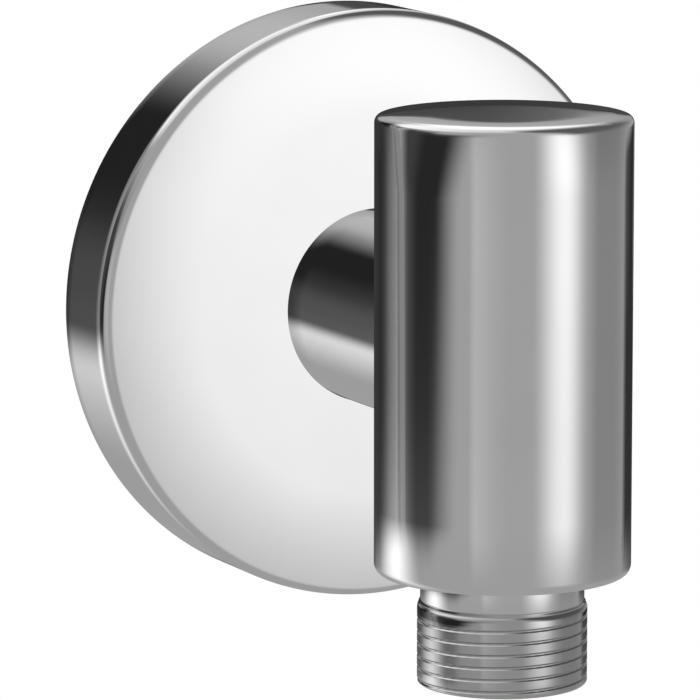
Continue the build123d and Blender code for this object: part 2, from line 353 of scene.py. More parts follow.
def woven_mesh(name: str, patches: list[Patch]) -> bpy.types.Object:
    """Makes one mesh of grids of points.

    Each cell of a grid is a face, and points that fall together become one vertex. So seams close, and a row
    that shrinks to a point becomes a pole. Where a grid gives the facing of its points, they are shaded by
    it. A grid's share of duller cut metal and of painted shade goes into an attribute.

    Args:
        name: Name of the piece.
        patches: Its grids.

    Returns:
        The new object, smooth but for edges sharper than SHARP_ANGLE.
    """
    cells: list[Array] = []
    start = 0
    for patch in patches:
        rows, columns, _ = patch.points.shape
        numbers = start + grid_cells(rows, columns)
        cells.append(numbers.reshape(-1, 4) if patch.open_cells is None else numbers[~patch.open_cells])
        start += rows * columns
    points = np.concatenate([patch.points.reshape(-1, 3) for patch in patches])
    _, kept, merged = np.unique(np.round(points / WELD_STEP), axis=0, return_index=True, return_inverse=True)
    mesh = bpy.data.meshes.new(name)
    mesh.from_pydata(points[kept], [], faces_of(merged.reshape(-1)[np.concatenate(cells)]))
    mesh.polygons.foreach_set("use_smooth", np.ones(len(mesh.polygons), bool))
    mesh.set_sharp_from_angle(angle=SHARP_ANGLE)
    if any(patch.dull_and_shade is not None for patch in patches):
        layer = mesh.attributes.new(DULL_AND_SHADE, "FLOAT", "POINT")
        layer.data.foreach_set("value", np.concatenate([patch.shares() for patch in patches])[kept])
    if any(patch.facing is not None for patch in patches):
        corners = np.empty(len(mesh.loops), np.int32)
        mesh.loops.foreach_get("vertex_index", corners)
        facing = np.concatenate([patch.directions() for patch in patches])[kept]
        mesh.normals_split_custom_set(facing[corners])
    mesh.update()
    return linked_object(name, mesh)


# Nodes that several materials share

SKIN_INPUTS = {"Vector": "NodeSocketVector", "Scale": "NodeSocketFloat", "Tone A": "NodeSocketColor",
               "Tone B": "NodeSocketColor", "Gloss A": "NodeSocketFloat", "Gloss B": "NodeSocketFloat"}
DULL_AND_SHADE_INPUTS = {"Dull And Shade": "NodeSocketFloat", "Dull And Shade Tone": "NodeSocketColor",
                 "Dull And Shade Gloss": "NodeSocketFloat"}
SKIN_OUTPUTS = {"Color": "NodeSocketColor", "Roughness": "NodeSocketFloat", "Height": "NodeSocketFloat"}
EDGE_LABELS = ("Left", "Right", "Bottom", "Top")
WAVE_FINENESS = 2.4


def new_group(name: str, inputs: dict[str, str], outputs: dict[str, str]) -> tuple[
        bpy.types.NodeTree, bpy.types.NodeOutputs, bpy.types.NodeInputs]:
    """Starts a shader node group.

    Args:
        name: Name of the group.
        inputs: Socket type of each input, by name.
        outputs: Socket type of each output, by name.

    Returns:
        The group, the sockets that bring its inputs and the sockets that take its outputs.
    """
    tree = bpy.data.node_groups.new(name, "ShaderNodeTree")
    for way, sockets in (("INPUT", inputs), ("OUTPUT", outputs)):
        for label, kind in sockets.items():
            tree.interface.new_socket(label, in_out=way, socket_type=kind)
    return tree, tree.nodes.new("NodeGroupInput").outputs, tree.nodes.new("NodeGroupOutput").inputs


def shared_group(name: str, make: Callable[[str], bpy.types.NodeTree]) -> bpy.types.NodeTree:
    """The node group of a name, made when it is first asked for."""
    return bpy.data.node_groups.get(name) or make(name)


def feed(tree: bpy.types.NodeTree, socket: bpy.types.NodeSocket, value: Value) -> None:
    """Links an input to another socket, or sets it to a number or a colour.

    Args:
        tree: The tree of the input.
        socket: The input.
        value: What feeds it.
    """
    if isinstance(value, bpy.types.NodeSocket):
        tree.links.new(value, socket)
    else:
        socket.default_value = value


def computed(tree: bpy.types.NodeTree, operation: str, *values: Value) -> bpy.types.NodeSocket:
    """Adds a step of arithmetic.

    Args:
        tree: The tree to add to.
        operation: The step, by the name that a math node has for it.
        values: What it is worked out from.

    Returns:
        The result.
    """
    node = tree.nodes.new("ShaderNodeMath")
    node.operation = operation
    for socket, value in zip(node.inputs, values):
        feed(tree, socket, value)
    return node.outputs["Value"]


def ranged(tree: bpy.types.NodeTree, value: Value, low: Value, high: Value) -> bpy.types.NodeSocket:
    """Stretches the span from low to high of a value over 0 to 1, eased at both ends.

    Args:
        tree: The tree to add to.
        value: The value.
        low: Where the span starts.
        high: Where it ends.

    Returns:
        The result.
    """
    node = tree.nodes.new("ShaderNodeMapRange")
    node.interpolation_type = "SMOOTHSTEP"
    for label, given in (("Value", value), ("From Min", low), ("From Max", high)):
        feed(tree, node.inputs[label], given)
    return node.outputs["Result"]


def mixed(tree: bpy.types.NodeTree, kind: str, share: Value, first: Value, second: Value,
          blend: str = "MIX") -> bpy.types.NodeSocket:
    """Adds a mix of two sockets of one kind.

    Args:
        tree: The tree to add to.
        kind: FLOAT or RGBA.
        share: Share of the second.
        first: What the mix starts from.
        second: What it goes to.
        blend: How colours are laid over each other.

    Returns:
        The result.
    """
    node = tree.nodes.new("ShaderNodeMix")
    node.data_type = kind
    node.blend_type = blend
    used = [socket for socket in node.inputs if socket.enabled]
    for socket, value in zip(used, (share, first, second)):
        feed(tree, socket, value)
    return next(socket for socket in node.outputs if socket.enabled)


def show_blend(tree: bpy.types.NodeTree, share: bpy.types.NodeSocket, first: bpy.types.NodeSocket,
               second: bpy.types.NodeSocket) -> None:
    """Makes a mix of two shaders the surface of a material.

    Args:
        tree: The material's tree.
        share: Share of the second.
        first: Shader that the mix starts from.
        second: Shader that it goes to.
    """
    blend = tree.nodes.new("ShaderNodeMixShader")
    for socket, value in zip(blend.inputs, (share, first, second)):
        feed(tree, socket, value)
    feed(tree, tree.nodes["Material Output"].inputs["Surface"], blend.outputs["Shader"])


@dataclass(frozen=True)
class Noise:
    """Noise that varies a surface.

    Attributes:
        detail: Finer layers of it.
        span: Its values that are stretched over 0 to 1.
        scale: Its scale, per metre, where the finish doesn't give one.
    """

    detail: float
    span: Spot = (0.3, 0.7)
    scale: float = 1.0

    def add(self, tree: bpy.types.NodeTree, place: bpy.types.NodeSocket,
            scale: Value | None = None) -> bpy.types.NodeSocket:
        """Adds the noise to a tree.

        Args:
            tree: The tree to add to.
            place: Where it is read, as a vector, or as a number for a noise along a line.
            scale: Its scale, or None for its own.

        Returns:
            The noise.
        """
        node = tree.nodes.new("ShaderNodeTexNoise")
        on_line = place.type == "VALUE"
        node.noise_dimensions = "1D" if on_line else "3D"
        feed(tree, node.inputs["W" if on_line else "Vector"], place)
        feed(tree, node.inputs["Scale"], self.scale if scale is None else scale)
        feed(tree, node.inputs["Detail"], self.detail)
        return node.outputs["Fac"]

    def share(self, tree: bpy.types.NodeTree, noise: bpy.types.NodeSocket) -> bpy.types.NodeSocket:
        """Stretches the span of the added noise over 0 to 1."""
        return ranged(tree, noise, *self.span)


def wandering(tree: bpy.types.NodeTree, given: bpy.types.NodeOutputs, tone_share: bpy.types.NodeSocket,
              gloss_share: bpy.types.NodeSocket) -> tuple[bpy.types.NodeSocket, bpy.types.NodeSocket]:
    """Colour and roughness that wander between the two of each that a skin is given.

    Args:
        tree: The skin's group.
        given: Its inputs.
        tone_share: Share of the second colour.
        gloss_share: Share of the second roughness.

    Returns:
        The colour and the roughness.
    """
    tone = mixed(tree, "RGBA", tone_share, given["Tone A"], given["Tone B"])
    gloss = mixed(tree, "FLOAT", gloss_share, given["Gloss A"], given["Gloss B"])
    return tone, gloss


def give_skin(tree: bpy.types.NodeTree, result: bpy.types.NodeInputs, *values: bpy.types.NodeSocket) -> None:
    """Puts out colour, roughness and height from a skin's group, in that order."""
    for label, value in zip(SKIN_OUTPUTS, values):
        feed(tree, result[label], value)


def polish_group(name: str) -> bpy.types.NodeTree:
    """Hand-polished metal: slow clouds of gloss and tone, and a faint waviness of the plating.

    Where the mesh's attribute share is above 0, the metal is darker by the given tone and rougher by the
    given
    roughness: on a cut thread's lands that is a duller plating, and in the thread's groove it is painted
    shade.

    Args:
        name: Name of the group.

    Returns:
        A group with the outputs Color, Roughness and Height.
    """
    clouds, wave = Noise(detail=3.0, span=(0.35, 0.65)), Noise(detail=1.0)
    tree, given, result = new_group(name, SKIN_INPUTS | DULL_AND_SHADE_INPUTS, SKIN_OUTPUTS)
    share = clouds.share(tree, clouds.add(tree, given["Vector"], given["Scale"]))
    height = wave.add(tree, given["Vector"], computed(tree, "MULTIPLY", given["Scale"], WAVE_FINENESS))
    tone, gloss = wandering(tree, given, share, share)
    tone = mixed(tree, "RGBA", given["Dull And Shade"], tone, given["Dull And Shade Tone"], "MULTIPLY")
    gloss = computed(tree, "MULTIPLY_ADD", given["Dull And Shade"], given["Dull And Shade Gloss"], gloss)
    give_skin(tree, result, tone, gloss, height)
    return tree


def turning_group(name: str) -> bpy.types.NodeTree:
    """Lathe-turned metal: fine rings along the axis in gloss and height, and stains in tone.

    Args:
        name: Name of the group.

    Returns:
        A group with the outputs Color, Roughness and Height. Its axis is the Z of the vector it is given.
    """
    rings, stain = Noise(detail=4.0), Noise(detail=4.0, span=(0.35, 0.7), scale=160.0)
    tree, given, result = new_group(name, SKIN_INPUTS, SKIN_OUTPUTS)
    split = tree.nodes.new("ShaderNodeSeparateXYZ")
    feed(tree, split.inputs["Vector"], given["Vector"])
    height = rings.add(tree, split.outputs["Z"], given["Scale"])
    spread = stain.share(tree, stain.add(tree, given["Vector"]))
    tone, gloss = wandering(tree, given, spread, rings.share(tree, height))
    give_skin(tree, result, tone, gloss, height)
    return tree


def moulding_group(name: str) -> bpy.types.NodeTree:
    """Moulded plastic or rubber: a fine even grain, and faint flow clouds in its tone.

    Args:
        name: Name of the group.

    Returns:
        A group with the outputs Color, Roughness and Height.
    """
    flow, grain = Noise(detail=2.0, scale=220.0), Noise(detail=2.0)
    tree, given, result = new_group(name, SKIN_INPUTS, SKIN_OUTPUTS)
    height = grain.add(tree, given["Vector"], given["Scale"])
    spread = flow.share(tree, flow.add(tree, given["Vector"]))
    tone, gloss = wandering(tree, given, spread, grain.share(tree, height))
    give_skin(tree, result, tone, gloss, height)
    return tree


def soft_edge_group(name: str) -> bpy.types.NodeTree:
    """Mask of a panel: the product of a smooth step in from each of its four edges.

    Args:
        name: Name of the group.

    Returns:
        A group with the output Mask.
    """
    inputs = {"UV": "NodeSocketVector"} | dict.fromkeys(EDGE_LABELS, "NodeSocketFloat")
    tree, given, result = new_group(name, inputs, {"Mask": "NodeSocketFloat"})
    split = tree.nodes.new("ShaderNodeSeparateXYZ")
    feed(tree, split.inputs["Vector"], given["UV"])
    across, upward = split.outputs["X"], split.outputs["Y"]
    from_right, from_top = (computed(tree, "SUBTRACT", 1.0, inset) for inset in (across, upward))
    mask: Value = 1.0
    for label, inset in zip(EDGE_LABELS, (across, from_right, upward, from_top)):
        mask = computed(tree, "MULTIPLY", mask, ranged(tree, inset, 0.0, given[label]))
    feed(tree, result["Mask"], mask)
    return tree


class Skin(Enum):
    """Kinds of surface that a finish can have."""

    POLISHED = "polished_metal"
    TURNED = "turned_metal"
    MOULDED = "moulded_skin"

    def group(self) -> bpy.types.NodeTree:
        """The node group of this surface."""
        makers = {Skin.POLISHED: polish_group, Skin.TURNED: turning_group, Skin.MOULDED: moulding_group}
        return shared_group(self.value, makers[self])


@dataclass(frozen=True)
class Finish:
    """Finish of a material slot.

    Attributes:
        slot: The record's slot.
        skin: Kind of surface.
        tones: The two colours that the surface wanders between.
        gloss: The two roughnesses that it wanders between.
        scale: Scale of the surface's pattern, per metre.
        metallic: 1 for a metal, else 0.
        relief: Strength of the bump.
        relief_depth: Height of the bump, in metres.
        turn: Turn about X that brings a turned piece's axis to the pattern's Z, in degrees.
        dull_and_shade: For a polished skin, tone and added roughness of duller cut lands and of painted
            groove shade.
    """

    slot: Slot
    skin: Skin
    tones: tuple[Point, Point]
    gloss: tuple[float, float]
    scale: float
    metallic: float
    relief: float
    relief_depth: float
    turn: float = 0.0
    dull_and_shade: Spot = (0.48, 0.1)

    def material(self) -> bpy.types.Material:
        """Builds the material of this finish.

        Returns:
            A material in which the skin's group feeds one shader.
        """
        material = bpy.data.materials.new(self.slot.value + "_look")
        material.use_nodes = True
        tree = material.node_tree
        shader = tree.nodes["Principled BSDF"]
        shader.inputs["Metallic"].default_value = self.metallic
        place = tree.nodes.new("ShaderNodeTexCoord")
        mapping = tree.nodes.new("ShaderNodeMapping")
        mapping.inputs["Rotation"].default_value = (radians(self.turn), 0.0, 0.0)
        feed(tree, mapping.inputs["Vector"], place.outputs["Object"])
        skin = tree.nodes.new("ShaderNodeGroup")
        skin.node_tree = self.skin.group()
        values: dict[str, Value] = {
            "Vector": mapping.outputs["Vector"], "Scale": self.scale, "Tone A": (*self.tones[0], 1.0),
            "Tone B": (*self.tones[1], 1.0), "Gloss A": self.gloss[0], "Gloss B": self.gloss[1],
        }
        if self.skin is Skin.POLISHED:
            tone, roughness = self.dull_and_shade
            share = tree.nodes.new("ShaderNodeAttribute")
            share.attribute_name = DULL_AND_SHADE
            values |= {"Dull And Shade": share.outputs["Fac"], "Dull And Shade Tone": (tone, tone, tone, 1.0),
                       "Dull And Shade Gloss": roughness}
        for label, value in values.items():
            feed(tree, skin.inputs[label], value)
        bump = tree.nodes.new("ShaderNodeBump")
        bump.inputs["Strength"].default_value = self.relief
        bump.inputs["Distance"].default_value = self.relief_depth
        feed(tree, bump.inputs["Height"], skin.outputs["Height"])
        feed(tree, shader.inputs["Base Color"], skin.outputs["Color"])
        feed(tree, shader.inputs["Roughness"], skin.outputs["Roughness"])
        feed(tree, shader.inputs["Normal"], bump.outputs["Normal"])
        return material


FINISHES = (
    Finish(Slot.CHROME, Skin.POLISHED, tones=((0.9, 0.9, 0.9), (0.925, 0.925, 0.925)), gloss=(0.02, 0.03),
           scale=45.0, metallic=1.0, relief=0.02, relief_depth=0.00002),
    Finish(Slot.BRASS, Skin.TURNED, tones=((0.79, 0.6, 0.3), (0.7, 0.5, 0.23)), gloss=(0.2, 0.34),
           scale=5200.0, metallic=1.0, relief=0.25, relief_depth=0.00003, turn=90.0),
    Finish(Slot.RUBBER, Skin.MOULDED, tones=((0.022, 0.022, 0.022), (0.034, 0.034, 0.034)),
           gloss=(0.55, 0.7), scale=2600.0, metallic=0.0, relief=0.2, relief_depth=0.00003),
    Finish(Slot.VALVE, Skin.MOULDED, tones=((0.84, 0.84, 0.81), (0.87, 0.87, 0.84)), gloss=(0.36, 0.48),
           scale=1800.0, metallic=0.0, relief=0.12, relief_depth=0.00002),
    Finish(Slot.CLOSER, Skin.MOULDED, tones=((0.30, 0.35, 0.40), (0.34, 0.39, 0.44)), gloss=(0.38, 0.5),
           scale=1800.0, metallic=0.0, relief=0.12, relief_depth=0.00002),
    Finish(Slot.STEEL, Skin.TURNED, tones=((0.62, 0.62, 0.62), (0.55, 0.55, 0.56)), gloss=(0.16, 0.3),
           scale=4200.0, metallic=1.0, relief=0.15, relief_depth=0.00002),
)


def all_finishes() -> dict[Slot, bpy.types.Material]:
    """Builds the material of every finish, by slot."""
    return {finish.slot: finish.material() for finish in FINISHES}


@dataclass
class PaintShop:
    """Materials of the slots, made once each."""

    made: dict[Slot, bpy.types.Material] = field(default_factory=all_finishes)

    def paint(self, target: bpy.types.Object, slot: Slot) -> None:
        """Gives an object its finish, and keeps it out of its neighbours' reflections.

        The metal mirrors only the studio.

        Args:
            target: A new piece or a node.
            slot: Its slot in the record.
        """
        target.data.materials.clear()
        target.data.materials.append(self.made[slot])
        target.visible_glossy = False

    def paint_nodes(self) -> None:
        """Gives every node of the frame the finish of its slot in the record."""
        for part in frame["record"]["subparts"]:
            self.paint(frame["nodes"][part["node"]], Slot(part["material_slot"]))
            log.info("node %s: %s", part["node"], part["material_slot"])

    def install(self, piece: bpy.types.Object, slot: Slot, solid: str) -> bpy.types.Object:
        """Gives a new piece its finish and sets it on the fitting in place of a solid.

        Args:
            piece: The piece.
            slot: Its slot in the record.
            solid: Node of the solid that it replaces.

        Returns:
            The piece.
        """
        self.paint(piece, slot)
        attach(piece, FITTING)
        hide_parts(solid)
        return piece


# Pieces

NECK_SPINDLE = Spindle(origin=(0.0, 0.0, 0.0), across=(1.0, 0.0, 0.0), along=(0.0, 1.0, 0.0))
BODY_SPINDLE = Spindle(origin=(0.0, -BODY_STATION, 0.0), across=(1.0, 0.0, 0.0), along=(0.0, 0.0, 1.0))
# Angle on the neck's spindle that points straight down
UNDERSIDE = pi / 2


@dataclass
class ElbowBody:
    """Upright cylinder with softly polished ends, and the neck that carries it.

    Sizes are in millimetres and leans in degrees. Heights are from the neck's axis, stations from the wall.
    The polish leans the shading of the head over from the edge of its flat middle, and that of the side near
    its ends. Over a rounding its leans are at even steps. On the head they go with the radius, and on the
    neck with the height along its axis.
    """

    # Outside of the cylinder
    head: float = 28.415
    foot: float = -27.97
    radius: float = 15.797
    head_rounding: Spot = (0.7, 0.9)
    head_leans: tuple[float, ...] = (59.0, 55.0, 54.0, 31.0, 20.0, 10.0, 7.0)
    head_polish: tuple[Spot, ...] = ((0.0, 90.0), (6.5, 89.7), (8.5, 88.4), (10.5, 85.2), (12.9, 80.0),
                                     (13.5, 77.5), (13.8, 71.0), (14.2, 67.0), (14.6, 61.5))
    foot_rounding: Spot = (0.9, 1.2)
    foot_leans: tuple[float, ...] = (-7.5, -13.0, -31.0, -37.0, -45.0, -58.0, -80.0)
    side_span: Spot = (20.2, -19.7)
    side_rows: int = 9
    sole_width: float = 5.0
    turns: int = 288
    # Seat of the hose nipple, and the waterway
    seat_radius: float = 10.22
    seat_height: float = -23.5
    seat_edge: float = 0.15
    seat_lead: float = 0.4
    thread_radius: float = 9.0
    thread_top: float = -12.9
    waterway_radius: float = 8.0
    waterway_top: float = 7.0
    waterway_point: float = 11.807
    # Neck
    neck_radius: float = 12.47
    neck_polish: tuple[Spot, ...] = ((-16.2, 0.0), (-12.4, 3.4))
    neck_start: float = SHOULDER_STATION
    neck_end: float = 38.5
    neck_bore: float = 9.1
    neck_edge: float = 0.4
    neck_hold: float = 0.1
    neck_rows: int = 7
    neck_turns: int = 220
    # Hole of the locking screw, and the window around it
    screw_station: float = LOCK_STATION
    screw_radius: float = 2.5
    screw_floor: float = 9.3
    window_angle: float = radians(20)
    window_length: float = 8.4
    window_steps: int = 14
    rim_steps: int = 8

    def cylinder(self) -> Patch:
        """Turns the cylinder: flat head, rounding, side, rounding and foot, and the waterway inside.

        Returns:
            The turned grid, from the middle of the head down the side, and up the waterway.
        """
        top = np.array([(radius, self.head, lean) for radius, lean in self.head_polish])
        width, drop = self.head_rounding
        crown = polished_rounding((self.radius - width, self.head), (self.radius, self.head - drop),
                                  self.head_leans, flat_first=True)
        heights = np.linspace(*self.side_span, self.side_rows)
        side = np.column_stack([np.full_like(heights, self.radius), heights, np.zeros_like(heights)])
        width, rise = self.foot_rounding
        heel = polished_rounding((self.radius, self.foot + rise), (self.radius - width, self.foot),
                                 self.foot_leans, flat_first=False)
        sole = np.array([(self.radius - self.sole_width, self.foot, AGAINST_AXIS)])
        inside = rounded_profile(
            [
                Corner(self.seat_radius + self.seat_lead, self.foot),
                Corner(self.seat_radius, self.foot, self.seat_edge),
                Corner(self.seat_radius, self.seat_height),
                Corner(self.thread_radius, self.seat_height),
                Corner(self.thread_radius, self.thread_top),
                Corner(self.waterway_radius, self.thread_top),
                Corner(self.waterway_radius, self.waterway_top),
                Corner(0.0, self.waterway_point),
            ],
        )
        profile = np.vstack([top, crown, side, heel, sole, as_shaped(inside)])
        return lathe(BODY_SPINDLE, profile, self.turns)

    def window(self) -> tuple[Array, Array]:
        """Even steps over the four-sided window that the neck leaves open around its screw hole.

        Returns:
            Angles about the neck's axis, and heights along it, from the wall outwards.
        """
        angles = UNDERSIDE + np.linspace(-self.window_angle, self.window_angle, self.window_steps + 1)
        half = 0.5 * self.window_length
        stations = np.linspace(self.screw_station - half, self.screw_station + half, self.window_steps + 1)
        return angles, -stations

    def neck(self) -> Patch:
        """Turns the neck as a tube, open at the window around its screw hole.

        Returns:
            The tube's grid, from its end at the wall along the outside, and back through the bore.
        """
        inside, beside = self.window()
        around = np.linspace(inside[-1], inside[0] + FULL_TURN, self.neck_turns + 1)
        angles = np.concatenate([inside, around[1:]])
        angles[-1] = angles[0]
        heights = np.concatenate([
            [-(self.neck_start + self.neck_edge + self.neck_hold)],
            beside,
            np.linspace(beside[-1], -self.neck_end, self.neck_rows + 1)[1:],
        ])
        edge = np.array([(self.neck_radius - self.neck_edge, -self.neck_start),
                         (self.neck_radius, -self.neck_start - self.neck_edge)])
        side = np.column_stack([np.full_like(heights, self.neck_radius), heights])
        bore = np.array([(self.neck_bore, -self.neck_end), (self.neck_bore, -self.neck_start)])
        profile = np.vstack([edge, side, bore, edge[:1]])
        lean = np.full((len(profile), 1), np.nan)
        lean[len(edge):len(edge) + len(side), 0] = np.interp(heights, *np.transpose(self.neck_polish))
        first = len(edge) + 1
        gaps = np.zeros((len(profile) - 1, len(angles) - 1), bool)
        gaps[first:first + self.window_steps, :self.window_steps] = True
        tube = NECK_SPINDLE.place(profile[:, :1], angles[None, :], profile[:, 1:])
        return Patch(tube, gaps, NECK_SPINDLE.facing(angles[None, :], lean))

    def screw_hole(self) -> Patch:
        """Fills the neck's window around the round hole of the locking screw.

        The grid runs from the window's edge to the hole's rim, straight in angle and height, down the hole
        and to the middle of its floor. A point of the rim lies at the bearing of its point on the edge.

        Returns:
            The filling's grid, closed around the hole.
        """
        angles, heights = self.window()
        steps = self.window_steps
        edge_angles = np.concatenate([angles[:-1], np.full(steps, angles[-1]), angles[:0:-1],
                                      np.full(steps + 1, angles[0])])
        edge_heights = np.concatenate([np.full(steps, heights[0]), heights[:-1], np.full(steps, heights[-1]),
                                       heights[::-1]])
        bearing = np.arctan2(edge_heights + self.screw_station, self.neck_radius * (edge_angles - UNDERSIDE))
        bearing[-1] = bearing[0]
        rim_angles = UNDERSIDE + np.arcsin(self.screw_radius * np.cos(bearing) / self.neck_radius)
        rim_heights = self.screw_radius * np.sin(bearing) - self.screw_station
        share = np.linspace(0.0, 1.0, self.rim_steps + 1)[:, None]
        skin = NECK_SPINDLE.place(self.neck_radius, edge_angles + share * (rim_angles - edge_angles),
                                  edge_heights + share * (rim_heights - edge_heights))
        floor = skin[-1:].copy()
        floor[..., 2] = -MM * self.screw_floor
        middle = np.zeros_like(floor) + MM * np.array([0.0, -self.screw_station, -self.screw_floor])
        return Patch(np.concatenate([skin, floor, middle]))

    def build(self, shop: PaintShop) -> bpy.types.Object:
        """Makes the shell of cylinder, neck and screw hole, and sets it in place of the elbow's solid."""
        shell = woven_mesh("elbow_shell", [self.cylinder(), self.neck(), self.screw_hole()])
        return shop.install(shell, Slot.CHROME, "elbow_body")


@dataclass
class WallFlange:
    """Round flange, hollow behind. Sizes in millimetres, leans in degrees; depths are from the wall.

    The polish leans the shading of the rim near both its edges, and that of the face outside its flat middle.
    Over a rounding its leans are at even steps.
    """

    # Outside
    radius: float = 37.75
    depth: float = 12.3
    edge_rounding: Spot = (1.2, 1.9)
    edge_leans: tuple[float, ...] = (-8.0, -17.0, -22.0, -28.0, -50.0, -51.0, -64.0, -72.5, -81.0, -84.0)
    face_flat: float = 24.4
    rim_span: Spot = (-1.7, -9.5)
    back_edge: float = 0.1
    back_leans: tuple[float, ...] = (82.0, 4.0)
    back_steps: int = 5
    turns: int = 320
    # Bore on the neck, with the groove of its ring
    bore: float = 12.49
    bore_edge: float = 0.03
    bore_lead: float = 0.3
    face_end: float = 0.5
    groove_radius: float = 14.5
    groove_back: float = 8.15
    groove_front: float = 10.05
    # Hollow behind, with the step for the gasket
    hub_radius: float = 16.95
    hub_back: float = 5.8
    face_back: float = 10.2
    inside_radius: float = 1.5
    inside_steps: int = 14
    rim_radius: float = 33.75
    gasket_radius: float = 36.35
    gasket_depth: float = 1.6

    def profile(self) -> Array:
        """Half-profile of the flange.

        Returns:
            Rows of radius, height and lean, from the back edge over the rim and the face to the bore, and
            back through the hollow.
        """
        back = polished_rounding((self.radius - self.back_edge, 0.0), (self.radius, -self.back_edge),
                                 self.back_leans, flat_first=True, steps=self.back_steps)
        rim = np.array([(self.radius, height, 0.0) for height in self.rim_span])
        width, rise = self.edge_rounding
        edge = polished_rounding((self.radius, rise - self.depth), (self.radius - width, -self.depth),
                                 self.edge_leans, flat_first=False)
        face = np.array([(radius, -self.depth, AGAINST_AXIS)
                         for radius in (self.face_flat, self.bore + self.face_end)])
        hollow = rounded_profile(
            [
                Corner(self.bore + self.bore_lead, -self.depth),
                Corner(self.bore, -self.depth, self.bore_edge),
                Corner(self.bore, -self.groove_front),
                Corner(self.groove_radius, -self.groove_front),
                Corner(self.groove_radius, -self.groove_back),
                Corner(self.bore, -self.groove_back),
                Corner(self.bore, -self.hub_back),
                Corner(self.hub_radius, -self.hub_back),
                Corner(self.hub_radius, -self.face_back, self.inside_radius),
                Corner(self.rim_radius, -self.face_back, self.inside_radius),
                Corner(self.rim_radius, -self.gasket_depth),
                Corner(self.gasket_radius, -self.gasket_depth),
                Corner(self.gasket_radius, 0.0),
            ],
            steps=self.inside_steps,
        )
        return np.vstack([back, rim, edge, face, as_shaped(hollow), back[:1]])

    def build(self, shop: PaintShop) -> bpy.types.Object:
        """Turns the flange and sets it in place of its solid."""
        flange = woven_mesh("flange_shell", [lathe(NECK_SPINDLE, self.profile(), self.turns)])
        return shop.install(flange, Slot.CHROME, "wall_flange")


@dataclass(frozen=True)
class ThreadCut:
    """Helical groove that cuts a thread into a turned piece, in millimetres.

    Attributes:
        pitch: Advance in one turn.
        depth: Depth of the groove.
        width: Width of the groove at the surface.
        floor: Share of the width over which the groove has its full depth.
        start: Height at which the groove has run out towards the first end.
        end: Height at which it has run out towards the last end.
        run_out: Length over which it fades at both ends.
    """

    pitch: float
    depth: float
    width: float
    floor: float
    start: float
    end: float
    run_out: float

    def sunk(self, angle: Array, height: Array) -> Array:
        """Depth of the groove at a place on the surface.

        The distance to the groove's middle is the height less pitch x angle / 2 pi, taken to the nearest
        whole pitch. From the groove's edge to its floor the depth follows a smooth step, and near the ends
        it fades by another.

        Args:
            angle: Angles about the axis.
            height: Heights along it.

        Returns:
            Depths, 0 outside the groove.
        """
        phase = height - self.pitch * angle / FULL_TURN
        away = np.abs(phase - self.pitch * np.round(phase / self.pitch))
        half = 0.5 * self.width
        flank = eased((half - away) / (half * (1.0 - self.floor)))
        low, high = min(self.start, self.end), max(self.start, self.end)
        ends = eased((height - low) / self.run_out) * eased((high - height) / self.run_out)
        return self.depth * flank * ends

    def tilt(self, angle: Array, height: Array, step: float = 0.004) -> Array:
        """Which way the groove faces at a place on the surface.

        It is the change of depth over a small step in height, against half the mean slope of the groove's
        sides, and is held between -1 and 1.

        Args:
            angle: Angles about the axis.
            height: Heights along it.
            step: Half the step in height.

        Returns:
            1 on the side that faces up, -1 on the side that faces down, and 0 on the flat.
        """
        rise = self.sunk(angle, height + step) - self.sunk(angle, height - step)
        mean = self.depth / (0.5 * self.width * (1.0 - self.floor))
        return np.clip(rise / (2 * step) / (0.5 * mean), -1.0, 1.0)


def hexagon_reach(angle: Array, flat: float) -> Array:
    """Distance from the middle of a hexagon to its side: flat / cos of the angle to the nearest flat."""
    sixth = pi / 3
    return flat / np.cos(angle - sixth * np.round(angle / sixth))


